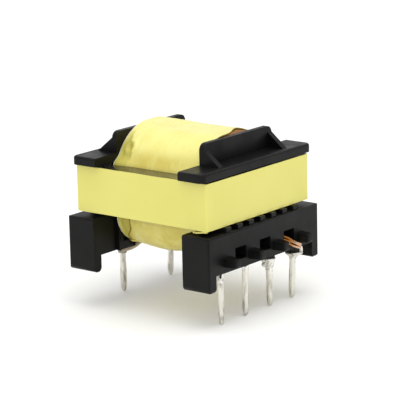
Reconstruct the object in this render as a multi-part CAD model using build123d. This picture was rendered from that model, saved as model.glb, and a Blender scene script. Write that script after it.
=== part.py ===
from build123d import *
import math
import os

# A small horizontal circuit-board transformer: coil former, E core pair, windings, tape, pins, leads, solder.
# The frame is in millimetres with +Z up. The origin lies at pin-tip level under the middle of the part.
# +X runs along the rows of pins and +Y runs along the coil's axis.

# Core, a pair of E halves that lie flat and meet at the middle of the coil
core_width = 20.4
core_half_length = 10.2
core_thick = 5.65
core_window_width = 14.2
core_window_depth = 7.4
centre_leg_width = 5.9
centre_leg_gap = 0.3
core_corner_radius = 0.15

# Tape band round the core pair
band_height = 5.9
band_thick = 0.28

# Heights above the pin tips
pin_below_feet = 4.8
foot_drop = 2.1
rail_height = 4.9
rib_height = 0.55
band_rib_clearance = 0.05

# Coil former: sleeve, flanges, hoods and top plates
sleeve_wall = 0.75
leg_clearance = 0.1
flange_thick = 0.7
flange_end_clearance = 0.05
flange_side_clearance = 0.15
band_plate_clearance = 0.2
plate_thick = 1.1
plate_side_overhang = 1.05
plate_overhang = 0.02
plate_corner_radius = 0.8
plate_edge_radius = 0.3
hood_height = 2.7
hood_corner_radius = 0.9
gusset_thick = 0.8
gusset_height = 1.9
gusset_reach = 2.35
mouth_chamfer = 0.25

# Coil former: pin rails, feet, ribs, windows and wire posts
rail_end_margin = 3.85
rail_outer_face = 11.3
rail_inner_step = 0.5
rail_edge_radius = 0.25
foot_length = 1.42
foot_radius = 0.6
foot_edge_radius = 0.4
rib_count = 7
rib_pitch = 2.3
rib_width = 0.95
rib_setback = 0.3
window_width = 2.2
window_height = 1.6
window_sill = 1.1
post_root_width = 1.4
post_root_height = 1.15
post_tip_width = 0.95
post_tip_height = 1.0
post_reach = 1.6
post_height = 1.28
post_tip_radius = 0.25

# Pins
pin_pitch = 5.0
pin_row_spacing = 20.0
pin_diameter = 0.8
pin_root_diameter = 0.86
pin_root_drop = 1.2
pin_seat = 3.5
pin_hole_clearance = 0.02
pin_taper_length = 0.7
pin_tip_diameter = 0.45
positions_per_row = 4
fitted_pins = ("near_1", "near_2", "near_3", "near_4", "far_2", "far_4")

# Coil: the tapes' thickness on its sides, and how the windings share what the tapes leave
insulation_build = 0.15
outer_tape_build = 0.35
primary_inner_share = 0.29
secondary_share = 0.38
coil_leg_clearance = 0.05
growth_above = 1.04
growth_below = 1.41
corner_growth = 1.6
crown_growth = 0.06
side_crown = 0.05
flare_length = 1.4
flare_build = 0.3
bare_length = 1.25
bare_rise = 4.6

# Leads that run under the rail to their pins: wire, and where each leaves the coil
lead_setback = 0.5
lead_rail_gap = 0.08
lead_bend = 0.45
lead_tail = 0.3
wire_sides = 6
under_lead_diameter = {"near_1": 0.16, "near_2": 0.16, "near_3": 0.36, "far_2": 0.30, "far_4": 0.30}
under_lead_start_x = {"near_1": -4.2, "near_2": -3.1, "near_3": 1.6, "far_2": -3.3, "far_4": 4.1}
leads_beyond_pin = ("near_1",)

# Stranded lead that leaves by the last window of the near rail and runs across the rail's face
strand_count = 3
strand_diameter = 0.25
strand_spacing = 0.27
strand_window_inset = 0.15
strand_sill_gap = 0.13
strand_face_gap = 0.18
strand_below_rail = 0.6
strand_pin_gap = 0.4
strand_tail = 0.25
strand_bend = 0.8
strand_end_bend = 0.5

# Solder on each pin, under the rail
solder_gap = 0.02
solder_lip = 0.12
solder_radius = {"near_1": 0.62, "near_2": 0.62, "near_3": 0.95, "near_4": 1.2, "far_2": 0.85, "far_4": 0.85}
solder_length = {"near_1": 0.9, "near_2": 0.8, "near_3": 2.1, "near_4": 1.5, "far_2": 1.15, "far_4": 1.15}

# How far fused forms bite, how far cuts run past, and how close counts as the same place
bite = 0.1
cut_past = 1.0
same_place = 0.001

# Places worked out from the sizes above
z_feet = pin_below_feet
z_rail = z_feet + foot_drop
z_rail_top = z_rail + rail_height
z_band = z_rail_top + rib_height + band_rib_clearance
z_axis = z_band + band_height / 2
z_plate = z_band + band_height + band_plate_clearance
z_plate_top = z_plate + plate_thick
z_hood_top = z_plate_top + hood_height
bore_width = centre_leg_width + 2 * leg_clearance
bore_height = core_thick + 2 * leg_clearance
sleeve_width = bore_width + 2 * sleeve_wall
sleeve_height = bore_height + 2 * sleeve_wall
flange_outer = core_window_depth - flange_end_clearance
flange_inner = flange_outer - flange_thick
flange_width = core_window_width - 2 * flange_side_clearance
plate_outer = core_half_length + band_thick + plate_overhang
plate_length = core_width + 2 * plate_side_overhang
rail_inner_face = flange_inner + rail_inner_step
rail_length = (positions_per_row - 1) * pin_pitch + 2 * rail_end_margin
pin_y = pin_row_spacing / 2
pin_xs = [(i - (positions_per_row - 1) / 2) * pin_pitch for i in range(positions_per_row)]
window_xs = [(a + b) / 2 for a, b in zip(pin_xs, pin_xs[1:])]
z_window = z_rail + window_sill
z_post = z_rail + post_height
row_side = {"near": -1, "far": 1}
coil_build = core_window_width / 2 - coil_leg_clearance - sleeve_width / 2
wire_build = coil_build - outer_tape_build - 2 * insulation_build
primary_inner_build = primary_inner_share * wire_build
secondary_build = secondary_share * wire_build
primary_outer_build = wire_build - primary_inner_build - secondary_build
layers = (
    ("primary_inner_winding", primary_inner_build),
    ("inner_insulation_tape", insulation_build),
    ("secondary_winding", secondary_build),
    ("middle_insulation_tape", insulation_build),
    ("primary_outer_winding", primary_outer_build),
)


def block(x0, x1, y0, y1, z0, z1):
    """Returns a box between two corners."""
    size = Box(x1 - x0, y1 - y0, z1 - z0, align=(Align.MIN, Align.MIN, Align.MIN))
    return Pos(x0, y0, z0) * size


def tapered_block(y0, width0, height0, y1, width1, height1):
    """Returns a block along Y, centred on it, whose width and height change evenly from y0 to y1."""
    plan = Polyline((-width0 / 2, y0), (width0 / 2, y0), (width1 / 2, y1), (-width1 / 2, y1), close=True)
    side = Polyline((y0, -height0 / 2), (y0, height0 / 2), (y1, height1 / 2), (y1, -height1 / 2), close=True)
    return (extrude(make_face(plan), max(height0, height1), both=True)
            & extrude(Plane.YZ * make_face(side), max(width0, width1), both=True))


def along_y(face, y0, y1):
    """Extrudes a face drawn in X and Z, centred on the coil's axis, from y0 to y1."""
    return extrude(Plane((0, y1, z_axis), x_dir=(1, 0, 0), z_dir=(0, -1, 0)) * face, y1 - y0)


# Core halves

def make_core_half(leg_cut):
    """The half on the -Y side, with its centre leg ground back by leg_cut for the gap."""
    z0 = z_axis - core_thick / 2
    z1 = z_axis + core_thick / 2
    body = block(-core_width / 2, core_width / 2, -core_half_length, 0, z0, z1)
    for side in (-1, 1):
        inner = side * centre_leg_width / 2
        outer = side * core_window_width / 2
        body -= block(min(inner, outer), max(inner, outer), -core_window_depth, cut_past,
                      z0 - cut_past, z1 + cut_past)
    if leg_cut > 0:
        mid_window = (centre_leg_width + core_window_width) / 4
        body -= block(-mid_window, mid_window, -leg_cut, cut_past, z0 - cut_past, z1 + cut_past)
    corners = [e for e in body.edges().filter_by(Axis.Z)
               if e.center().Y < -core_half_length + same_place]
    return fillet(corners, core_corner_radius)


# Tape band

def make_band():
    """A closed loop of tape that follows the outline of the core pair."""
    inner = RectangleRounded(core_width, 2 * core_half_length, core_corner_radius)
    outer = RectangleRounded(core_width + 2 * band_thick, 2 * (core_half_length + band_thick),
                             core_corner_radius + band_thick)
    return Pos(0, 0, z_band) * extrude(outer - inner, band_height)


# Coil former

def make_flange_and_hood():
    """The end wall of the winding space, which stands up behind the top plate as a hood."""
    low = z_rail - z_axis
    high = z_hood_top - z_axis
    face = Pos(0, (low + high) / 2) * Rectangle(flange_width, high - low)
    top = face.vertices().group_by(Axis.Y)[-1]
    face = fillet(top, hood_corner_radius)
    wall = along_y(face - Rectangle(bore_width, bore_height), -flange_outer, -flange_inner)
    splay = 4 * mouth_chamfer
    lead_in = tapered_block(mouth_chamfer - flange_outer, bore_width, bore_height,
                            -mouth_chamfer - flange_outer, bore_width + splay, bore_height + splay)
    return wall - Pos(0, 0, z_axis) * lead_in


def make_plate():
    """The top plate, a flat tab over the core's back wall with rounded corners and edges."""
    half = plate_length / 2
    plate = block(-half, half, -plate_outer, -flange_inner, z_plate, z_plate_top)
    plate = fillet(plate.edges().filter_by(Axis.Z).group_by(Axis.Y)[0], plate_corner_radius)
    rim = [e for e in plate.faces().sort_by(Axis.Z)[-1].edges() if e.center().Y < -flange_inner - same_place]
    return fillet(rim, plate_edge_radius)


def make_gusset(side):
    """A triangular web that props the hood from the top plate, at one end of the hood."""
    foot = z_plate_top - bite
    tip_y = -flange_outer - gusset_reach
    outline = Polyline((-flange_outer, foot), (tip_y, foot), (tip_y, z_plate_top),
                       (-flange_outer, z_plate_top + gusset_height), close=True)
    face = Plane.YZ * make_face(outline)
    x0 = flange_width / 2 - gusset_thick
    web = Pos(x0, 0, 0) * extrude(face, gusset_thick)
    return web if side > 0 else mirror(web, Plane.YZ)


def make_rail():
    """The pin rail with a foot at each end: its front, plan and end outlines, extruded and intersected."""
    depth = rail_outer_face - rail_inner_face
    height = z_rail_top - z_feet
    mid_y = -(rail_outer_face + rail_inner_face) / 2
    mid_z = (z_rail_top + z_feet) / 2
    front = Pos(0, mid_z) * Rectangle(rail_length, height)
    front -= Pos(0, z_feet) * Rectangle(rail_length - 2 * foot_length, 2 * foot_drop)
    front = fillet(front.vertices().group_by(Axis.Y)[0], foot_radius)
    front = fillet(front.vertices().group_by(Axis.Y)[-1], rail_edge_radius)
    plan = Pos(0, mid_y) * Rectangle(rail_length, depth)
    plan = fillet(plan.vertices().group_by(Axis.Y)[0], rail_edge_radius)
    end = Pos(mid_y, mid_z) * Rectangle(depth, height)
    end = fillet(end.vertices().group_by(Axis.X)[0].sort_by(Axis.Y)[-1], rail_edge_radius)
    end = fillet(end.vertices().group_by(Axis.Y)[0].sort_by(Axis.X)[0], foot_edge_radius)
    return (extrude(Plane.XZ * front, rail_outer_face + cut_past)
            & extrude(plan, z_rail_top + cut_past)
            & extrude(Plane.YZ * end, rail_length, both=True))


def make_rib(x):
    """One of the ribs on the rail's top that the taped core lies over."""
    return block(x - rib_width / 2, x + rib_width / 2, -rail_outer_face + rib_setback, -flange_outer,
                 z_rail_top - bite, z_rail_top + rib_height)


def make_post(x):
    """A tapered peg on the rail's outer face that a lead is dressed round."""
    post = tapered_block(bite - rail_outer_face, post_root_width, post_root_height,
                         -rail_outer_face - post_reach, post_tip_width, post_tip_height)
    end = post.faces().sort_by(Axis.Y)[0]
    return Pos(x, 0, z_post) * fillet(end.edges(), post_tip_radius)


def make_end():
    """Everything of the coil former on the -Y side of its sleeve."""
    end = make_flange_and_hood() + make_plate() + make_rail()
    for side in (-1, 1):
        end += make_gusset(side)
    for i in range(rib_count):
        end += make_rib((i - (rib_count - 1) / 2) * rib_pitch)
    for x in pin_xs:
        end += make_post(x)
        end -= Pos(x, -pin_y, z_rail) * Cylinder(pin_root_diameter / 2 + pin_hole_clearance, 2 * pin_seat)
    for x in window_xs:
        end -= block(x - window_width / 2, x + window_width / 2, -rail_outer_face - cut_past,
                     -flange_inner + cut_past, z_window, z_window + window_height)
    return end


def make_bobbin():
    """The moulded coil former: a square sleeve between two alike ends."""
    sleeve = along_y(Rectangle(sleeve_width, sleeve_height) - Rectangle(bore_width, bore_height),
                     -flange_inner - bite, flange_inner + bite)
    end = make_end()
    return sleeve + end + mirror(end, Plane.XZ)


# Windings and coil tape

def coil_outline(build, flare=0.0):
    """The coil's outline at one depth of build: a rounded square that bulges above and below the core."""
    half = sleeve_width / 2 + build
    up = sleeve_height / 2 + build * growth_above + flare
    down = sleeve_height / 2 + build * growth_below + flare / 2
    crown = crown_growth * build
    bow = side_crown * build
    corners = ((bow - half, -down), (half - bow, -down), (half - bow, up), (bow - half, up))
    middles = ((0, -down - crown), (half, 0), (0, up + crown), (-half, 0))
    arcs = [ThreePointArc(corners[i], middles[i], corners[(i + 1) % 4]) for i in range(4)]
    face = make_face(arcs)
    return fillet(face.vertices(), corner_growth * build)


def make_layer(inner_build, outer_build):
    """A winding or tape layer between two depths of build, from flange to flange."""
    hole = coil_outline(inner_build) if inner_build > 0 else Rectangle(sleeve_width, sleeve_height)
    return along_y(coil_outline(outer_build) - hole, -flange_inner, flange_inner)


def make_outer_tape():
    """The coil's last wraps of tape, flared at the far flange and cut askew over the near one."""
    flare_start = flange_inner - flare_length
    body = along_y(coil_outline(coil_build), -flange_inner, flare_start)
    sections = [Plane((0, y, z_axis), x_dir=(1, 0, 0), z_dir=(0, -1, 0)) * coil_outline(coil_build, flare)
                for y, flare in ((flare_start, 0.0), (flange_inner, flare_build))]
    body += loft(sections, ruled=True)
    body -= along_y(coil_outline(coil_build - outer_tape_build), -flange_inner - cut_past,
                    flange_inner + cut_past)
    top = z_axis + sleeve_height / 2 + coil_build * (growth_above + crown_growth)
    bare = Polyline((-flange_inner - cut_past, z_axis + bare_rise), (-flange_inner, z_axis + bare_rise),
                    (bare_length - flange_inner, top), (bare_length - flange_inner, top + cut_past),
                    (-flange_inner - cut_past, top + cut_past), close=True)
    return body - extrude(Plane.YZ * make_face(bare), core_width, both=True)


# Pins, leads and solder

def pin_place(pin):
    """Returns where a pin stands along X and which side of the coil its row is on."""
    row, position = pin.split("_")
    return pin_xs[int(position) - 1], row_side[row]


def make_pin(pin):
    """A round pin with a tapered tip and a slightly thicker root, pressed into the rail."""
    x, side = pin_place(pin)
    radius = pin_diameter / 2
    root = pin_root_diameter / 2
    shoulder = z_rail - pin_root_drop
    top = z_rail + pin_seat
    outline = Polyline((0, 0), (pin_tip_diameter / 2, 0), (radius, pin_taper_length), (radius, shoulder),
                       (root, shoulder), (root, top), (0, top), close=True)
    return Pos(x, side * pin_y, 0) * revolve(Plane.XZ * make_face(outline), Axis.Z)


def make_wire(points, radii, diameter):
    """A wire, round but for its flats, along straight runs joined by tangent arcs."""
    path = FilletPolyline(*points, radius=radii)
    section = Plane(origin=path @ 0, z_dir=path % 0) * RegularPolygon(diameter / 2, wire_sides)
    wire = sweep(section, path=path)
    print(f"wire {diameter} radii {radii} volume {wire.volume:.4f} of {path.length * section.area:.4f}")
    return wire


def make_under_lead(pin, coil):
    """A lead from the coil's underside by the flange, under the rail, to lie against its pin."""
    pin_x, side = pin_place(pin)
    diameter = under_lead_diameter[pin]
    start_x = under_lead_start_x[pin]
    reach = pin_root_diameter / 2 + diameter / 2 + pin_hole_clearance
    x = pin_x + (reach if pin in leads_beyond_pin else -reach)
    z = z_rail - lead_rail_gap - diameter / 2
    start_y = flange_inner - lead_setback
    depth = coil_build - outer_tape_build - primary_outer_build / 2
    points = [(start_x, side * start_y, z_axis - sleeve_height / 2 - growth_below * depth),
              (start_x, side * start_y, z),
              (x, side * (pin_y - pin_diameter), z),
              (x, side * (pin_y + lead_tail), z)]
    wire = make_wire(points, [lead_bend, lead_bend], diameter)
    for solid in coil:
        wire -= solid
    return wire


def make_stranded_lead():
    """Strands side by side, out of the last near window, across the rail's face and in beside the pin."""
    pin_x = pin_xs[-1]
    radius = strand_diameter / 2
    width = strand_count * strand_spacing
    x0 = window_xs[-1] - window_width / 2 + radius + strand_window_inset
    z0 = z_window + strand_sill_gap + width / 2
    x1 = pin_x + pin_diameter / 2 + strand_pin_gap
    z1 = z_rail - strand_below_rail
    front = -rail_outer_face - strand_face_gap - radius
    run = math.hypot(x1 - x0, z1 - z0)
    across = Vector((z0 - z1) / run, 0, (x1 - x0) / run)
    points = [Vector(x0, -flange_inner, z0), Vector(x0, front, z0), Vector(x1, front, z1),
              Vector(x1, strand_tail - pin_y, z1)]
    strands = []
    for i in range(strand_count):
        offset = across * (i - (strand_count - 1) / 2) * strand_spacing
        route = [p + offset for p in points]
        strands.append(make_wire(route, [strand_bend, strand_end_bend], strand_diameter))
    return Compound(children=strands)


def make_solder(pin, stem, lead):
    """A cone of solder round the pin's stem and the end of its lead."""
    x, side = pin_place(pin)
    radius = solder_radius[pin]
    inner = pin_diameter / 2
    top = z_rail - solder_gap
    low = lead.bounding_box().min.Z - solder_lip
    foot = top - solder_length[pin]
    outline = Polyline((inner, foot), (inner, top), (radius, top), (radius, low), close=True)
    blob = Pos(x, side * pin_y, 0) * revolve(Plane.XZ * make_face(outline), Axis.Z)
    for solid in [stem, *lead.solids()]:
        blob -= solid
    return blob


os.makedirs("parts", exist_ok=True)
nodes = {}
nodes["bobbin"] = make_bobbin()
nodes["core_half_front"] = make_core_half(0)
nodes["core_half_rear"] = mirror(make_core_half(centre_leg_gap), Plane.XZ)
nodes["core_tape"] = make_band()
depth = 0.0
for name, build in layers:
    nodes[name] = make_layer(depth, depth + build)
    depth += build
nodes["outer_coil_tape"] = make_outer_tape()
for pin in fitted_pins:
    nodes[f"pin_{pin}"] = make_pin(pin)
coil = [nodes["primary_outer_winding"], nodes["outer_coil_tape"]]
for pin in under_lead_diameter:
    nodes[f"lead_{pin}"] = make_under_lead(pin, coil)
nodes["lead_near_4"] = make_stranded_lead()
for pin in fitted_pins:
    nodes[f"solder_{pin}"] = make_solder(pin, nodes[f"pin_{pin}"], nodes[f"lead_{pin}"])

for name, solid in nodes.items():
    export_step(solid, f"parts/{name}.step")
    print(name, len(solid.solids()), round(solid.volume, 2))
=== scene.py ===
import logging
import math
from collections.abc import Callable
from dataclasses import dataclass, field
from enum import Enum
from functools import cached_property

import bmesh
import bpy
from mathutils import Matrix, Vector, noise


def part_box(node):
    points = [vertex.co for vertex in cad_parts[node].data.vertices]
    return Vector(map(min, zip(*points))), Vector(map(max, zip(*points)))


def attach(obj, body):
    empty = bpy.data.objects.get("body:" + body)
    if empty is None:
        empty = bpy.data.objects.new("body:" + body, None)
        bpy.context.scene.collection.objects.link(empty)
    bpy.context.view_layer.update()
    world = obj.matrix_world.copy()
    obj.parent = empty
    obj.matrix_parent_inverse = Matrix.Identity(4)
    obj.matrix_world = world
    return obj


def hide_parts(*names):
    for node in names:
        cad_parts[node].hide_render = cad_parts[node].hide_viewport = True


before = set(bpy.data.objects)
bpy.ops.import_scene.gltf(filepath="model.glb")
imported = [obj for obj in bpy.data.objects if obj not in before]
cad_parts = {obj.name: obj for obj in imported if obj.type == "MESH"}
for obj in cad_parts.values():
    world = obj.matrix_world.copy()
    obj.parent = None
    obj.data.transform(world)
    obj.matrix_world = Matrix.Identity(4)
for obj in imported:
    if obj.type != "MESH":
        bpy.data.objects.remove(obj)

# A small circuit-board transformer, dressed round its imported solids. Sizes in the classes are in
# millimetres in the solids' own frame: +X along the pin rows, +Y along the coil's axis, +Z up, z = 0 at
# the pin tips.

log = logging.getLogger("transformer")

MM = 0.001
PHOTO_PIXELS = 400
BODY = "root"
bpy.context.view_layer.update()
# How close points of the solids' loose triangles lie that are one point.
WELD_MM = 0.001
# Between which values most of a noise pattern lies.
NOISE_SPAN = (0.3, 0.7)
# The size of a patch of gloss, as a share of a patch of colour.
GLOSS_PATCH = 0.4


def millimetres(node: str) -> tuple[Vector, Vector]:
    """Gives a solid's lowest and highest corner.

    Args:
        node: The solid's name.

    Returns:
        Both corners in millimetres.
    """
    low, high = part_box(node)
    return low / MM, high / MM


def linear(code: str) -> tuple[float, float, float, float]:
    """Turns an sRGB hex colour into the linear values that shaders take.

    Args:
        code: The colour, such as "#E9E07F".

    Returns:
        Red, green, blue and alpha.
    """
    parts = [int(code[i:i + 2], 16) / 255 for i in (1, 3, 5)]
    return (*[p / 12.92 if p <= 0.04045 else ((p + 0.055) / 1.055) ** 2.4 for p in parts], 1.0)


def smooth_step(low: float, high: float, value: float) -> float:
    """Rises smoothly from 0 at low to 1 at high."""
    t = min(max((value - low) / (high - low), 0.0), 1.0)
    return t * t * (3 - 2 * t)


def hump(centre: float, width: float, value: float) -> float:
    """Is 1 at the centre and falls off as a bell of that width."""
    return math.exp(-((value - centre) / width) ** 2)


def ripple(x: float, y: float, z: float, wavelength: float, seed: float) -> float:
    """Smooth noise between about -1 and 1 at a point in millimetres."""
    return noise.noise(Vector((x / wavelength + seed, y / wavelength, z / wavelength - seed)))


def ring_ripple(angle: float, z: float, waves: tuple[float, float], seed: float) -> float:
    """Smooth noise between about -1 and 1 round a ring, from the ring's radius and the waves' length."""
    radius, wavelength = waves
    return ripple(radius * math.cos(angle), radius * math.sin(angle), z, wavelength, seed)


def around(centre: Vector, angle: float, radius: float, z: float) -> Vector:
    """Gives the point at an angle and a distance from an upright axis, at a height."""
    return Vector((centre.x + radius * math.cos(angle), centre.y + radius * math.sin(angle), z))


def add_node(tree: bpy.types.NodeTree, kind: str, settings: dict | None = None,
             inputs: dict | None = None) -> bpy.types.Node:
    """Adds a shader node with its settings and links.

    Args:
        tree: The material's or world's tree.
        kind: The node's type.
        settings: The node's own properties.
        inputs: Values or output sockets by input name or number.

    Returns:
        The new node.
    """
    node = tree.nodes.new(kind)
    for name, value in (settings or {}).items():
        setattr(node, name, value)
    for name, value in (inputs or {}).items():
        if isinstance(value, bpy.types.NodeSocket):
            tree.links.new(value, node.inputs[name])
        else:
            node.inputs[name].default_value = value
    return node


@dataclass(frozen=True)
class Finish:
    """One real material: its colours, its gloss and the size of its unevenness.

    Attributes:
        name: The material's common name and how its surface was made.
        slot: The slot in the part's record that it belongs to.
        colour: Its colour as it looks in plain light.
        shade: The colour of its darker patches.
        roughness: How rough it is, on average.
        roughness_swing: How far its roughness wanders.
        patch_mm: The size of the patches of colour.
        grain_mm: The size of the fine unevenness.
        grain_depth_mm: The height of the fine unevenness.
        stretch: How much longer the patches are along Z than across.
        edge: Where the patches' noise turns from the colour to the shade.
        metallic: 1 for a metal.
        ior: Index of refraction of what isn't a metal.
    """

    name: str
    slot: str
    colour: str
    shade: str
    roughness: float
    roughness_swing: float = 0.08
    patch_mm: float = 4.0
    grain_mm: float = 0.3
    grain_depth_mm: float = 0.002
    stretch: float = 1.0
    edge: tuple[float, float] = (0.35, 0.75)
    metallic: float = 0.0
    ior: float = 1.5

    def material(self) -> bpy.types.Material:
        """Builds the material once and gives the same one after that.

        Returns:
            The material, with patches of colour, wandering gloss and a fine bump.
        """
        known = bpy.data.materials.get(self.name)
        if known:
            return known
        material = bpy.data.materials.new(self.name)
        material.use_nodes = True
        tree = material.node_tree
        shader = tree.nodes["Principled BSDF"]
        shader.inputs["Metallic"].default_value = self.metallic
        if self.metallic == 0.0:
            shader.inputs["IOR"].default_value = self.ior
        place = add_node(tree, "ShaderNodeTexCoord").outputs["Object"]
        colour = self.paint(tree, place)
        tree.links.new(colour, shader.inputs["Base Color"])
        gloss = add_node(tree, "ShaderNodeTexNoise", inputs={
            "Vector": place, "Scale": 1 / (self.patch_mm * GLOSS_PATCH * MM), "Detail": 3.0})
        span = add_node(tree, "ShaderNodeMapRange", inputs={
            "Value": gloss.outputs["Fac"], "From Min": NOISE_SPAN[0], "From Max": NOISE_SPAN[1],
            "To Min": self.roughness - self.roughness_swing,
            "To Max": self.roughness + self.roughness_swing})
        tree.links.new(span.outputs["Result"], shader.inputs["Roughness"])
        tree.links.new(self.relief(tree, place), shader.inputs["Normal"])
        return material

    def paint(self, tree: bpy.types.NodeTree, place: bpy.types.NodeSocket) -> bpy.types.NodeSocket:
        """Mixes the colour and the shade in soft patches.

        Args:
            tree: The material's tree.
            place: The object coordinates.

        Returns:
            The colour socket.
        """
        drawn = add_node(tree, "ShaderNodeVectorMath", {"operation": "MULTIPLY"},
                         {0: place, 1: (1.0, 1.0, 1 / self.stretch)})
        patches = add_node(tree, "ShaderNodeTexNoise", inputs={
            "Vector": drawn.outputs["Vector"], "Scale": 1 / (self.patch_mm * MM), "Detail": 2.0})
        share = add_node(tree, "ShaderNodeMapRange", inputs={
            "Value": patches.outputs["Fac"], "From Min": self.edge[0], "From Max": self.edge[1]})
        return add_node(tree, "ShaderNodeMix", {"data_type": "RGBA"}, {
            0: share.outputs["Result"], 6: linear(self.colour), 7: linear(self.shade)}).outputs[2]

    def relief(self, tree: bpy.types.NodeTree, place: bpy.types.NodeSocket) -> bpy.types.NodeSocket:
        """Adds the fine unevenness.

        Args:
            tree: The material's tree.
            place: The object coordinates.

        Returns:
            The normal socket.
        """
        grain = add_node(tree, "ShaderNodeTexNoise", inputs={
            "Vector": place, "Scale": 1 / (self.grain_mm * MM), "Detail": 4.0})
        return add_node(tree, "ShaderNodeBump", inputs={
            "Height": grain.outputs["Fac"], "Strength": 1.0, "Distance": self.grain_depth_mm * MM,
        }).outputs["Normal"]


@dataclass(frozen=True)
class Ramp:
    """A smooth change from one value to another between two lengths.

    Attributes:
        reads: The name of the length that it follows.
        span: Between which lengths it changes, in millimetres.
        ends: Its values at both ends.
    """

    reads: str
    span: tuple[float, float]
    ends: tuple[float, float] = (0.0, 1.0)


@dataclass(frozen=True)
class Join:
    """Two values made into one.

    Attributes:
        operation: The sum, product or the like.
        first: The first value's name.
        second: The second value or its name.
    """

    operation: str
    first: str
    second: str | float


@dataclass(frozen=True)
class CoilFilm(Finish):
    """Polyester film on the coil, which shows the black flange where no wire lies under it.

    Attributes:
        gold_shade: Painted shade: the darker gold lower down the coil, away from the overhead light.
        gold_shade_z: How high the painted shade is full, and where it has faded out to the film's pale
            colour.
        margin: The colour over the bare margin at the far end.
        margin_y: Where the margin starts along Y, where it is widest and where it is narrowest.
        margin_low: Between which heights it widens, under the core.
        margin_high: Between which heights it narrows again, over the core.
        margin_edge: Over what length from its start the margin sets in.
        margin_share: How much of the margin's colour shows at most, and under the core.
        faint: How much of the painted shade and of the margin is left at the coil's top.
        crease: The colour of the crease along the margin, under the core.
        crease_width: How far the crease reaches to each side.
        crease_share: How much of its colour shows past the margin's start.
        pale: Painted reflection of the pale table along the coil's underside.
        pale_level: Between which heights that painted reflection ends, at Y = 0.
        pale_slope: How much higher it ends per length along Y.
        streak_mm: The size of the golden streaks that break up the painted shade and the painted
            reflection.
        streak_squeeze: How much they are squeezed along Z.
        streak_gain: How strong they are.
        rim: The colour of the film's cut edge, which the light comes through.
        rim_y: Where the cut edge starts along Y, and where it is complete.
        rim_share: How much of its colour shows.
        under_z: From which height down the film counts as under the core, and up to where it fades.
    """

    # The darker gold lower down the coil is painted shade, away from the overhead light.
    gold_shade: str = "#DACA5E"
    gold_shade_z: tuple[float, float] = (18.9, 20.9)
    margin: str = "#C9BF58"
    margin_y: tuple[float, float] = (4.6, 6.1)
    margin_low: tuple[float, float] = (8.3, 10.4)
    margin_high: tuple[float, float] = (20.3, 22.3)
    margin_edge: tuple[float, float] = (-0.05, 0.4)
    margin_share: tuple[float, float] = (0.95, 0.7)
    faint: float = 0.12
    crease: str = "#8E6420"
    crease_width: float = 0.25
    crease_share: float = 0.9
    # The pale band along the coil's underside is a painted reflection of the table.
    pale: str = "#F6F2CF"
    pale_level: tuple[float, float] = (6.78, 6.92)
    pale_slope: float = 0.12
    streak_mm: float = 1.6
    streak_squeeze: float = 0.35
    streak_gain: float = 1.5
    rim: str = "#F2F0D6"
    rim_y: tuple[float, float] = (6.52, 6.56)
    rim_share: float = 0.85
    under_z: tuple[float, float] = (12.2, 12.4)

    def paint(self, tree: bpy.types.NodeTree, place: bpy.types.NodeSocket) -> bpy.types.NodeSocket:
        """Adds the painted shade lower down, the margin with its crease, the painted reflection along the
        underside and the cut edge to the patches.

        Args:
            tree: The material's tree.
            place: The object coordinates.

        Returns:
            The colour socket.
        """
        narrow, wide = self.margin_y[1] * MM, self.margin_y[0] * MM
        steps = {
            # Painted shade: darker gold lower down the coil, fading out towards its top.
            "high": Ramp("Z", self.gold_shade_z, (1.0, self.faint)),
            "widening": Ramp("Z", self.margin_low, (narrow, wide)),
            "narrowing": Ramp("Z", self.margin_high, (wide, narrow)),
            "start": Join("MAXIMUM", "widening", "narrowing"),
            "past": Join("SUBTRACT", "Y", "start"),
            "inside": Ramp("past", self.margin_edge),
            "faded": Ramp("Z", self.margin_high, (self.margin_share[0], self.faint)),
            "thin": Ramp("Z", self.under_z, (self.margin_share[1], 1.0)),
            "before": Ramp("past", (-self.crease_width, 0.0)),
            "after": Ramp("past", (0.0, self.crease_width), (self.crease_share, 0.0)),
            "under": Ramp("Z", self.under_z, (1.0, 0.0)),
            "slope": Join("MULTIPLY", "Y", self.pale_slope),
            "level": Join("SUBTRACT", "Z", "slope"),
            "low": Ramp("level", self.pale_level, (1.0, 0.0)),
            "patchy": Join("MULTIPLY", "streaks", self.streak_gain),
            "strength": Join("MINIMUM", "patchy", 1.0),
            "gold_shade": Join("MULTIPLY", "high", "strength"),
            "shown": Join("MULTIPLY", "inside", "faded"),
            "margin": Join("MULTIPLY", "shown", "thin"),
            "line": Join("MULTIPLY", "before", "after"),
            "crease": Join("MULTIPLY", "line", "under"),
            # Painted reflection of the table along the coil's underside, broken up by the streaks.
            "pale": Join("MULTIPLY", "low", "patchy"),
            "rim": Ramp("Y", self.rim_y, (0.0, self.rim_share)),
        }
        drawn = add_node(tree, "ShaderNodeVectorMath", {"operation": "MULTIPLY"},
                         {0: place, 1: (1.0, 1.0, self.streak_squeeze)}).outputs["Vector"]
        streaks = add_node(tree, "ShaderNodeTexNoise", inputs={
            "Vector": drawn, "Scale": 1 / (self.streak_mm * MM), "Detail": 3.0})
        axes = add_node(tree, "ShaderNodeSeparateXYZ", inputs={"Vector": place})
        found = {"streaks": streaks.outputs["Fac"], "Y": axes.outputs["Y"], "Z": axes.outputs["Z"]}
        for name, step in steps.items():
            if isinstance(step, Ramp):
                node = add_node(tree, "ShaderNodeMapRange", {"interpolation_type": "SMOOTHSTEP"}, {
                    "Value": found[step.reads], "From Min": step.span[0] * MM,
                    "From Max": step.span[1] * MM, "To Min": step.ends[0], "To Max": step.ends[1]})
            else:
                node = add_node(tree, "ShaderNodeMath", {"operation": step.operation}, {
                    0: found[step.first], 1: found.get(step.second, step.second)})
            found[name] = node.outputs[0]
        colour = super().paint(tree, place)
        for name in ("gold_shade", "margin", "crease", "pale", "rim"):
            colour = add_node(tree, "ShaderNodeMix", {"data_type": "RGBA"}, {
                0: found[name], 6: colour, 7: linear(getattr(self, name))}).outputs[2]
        return colour


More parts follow.
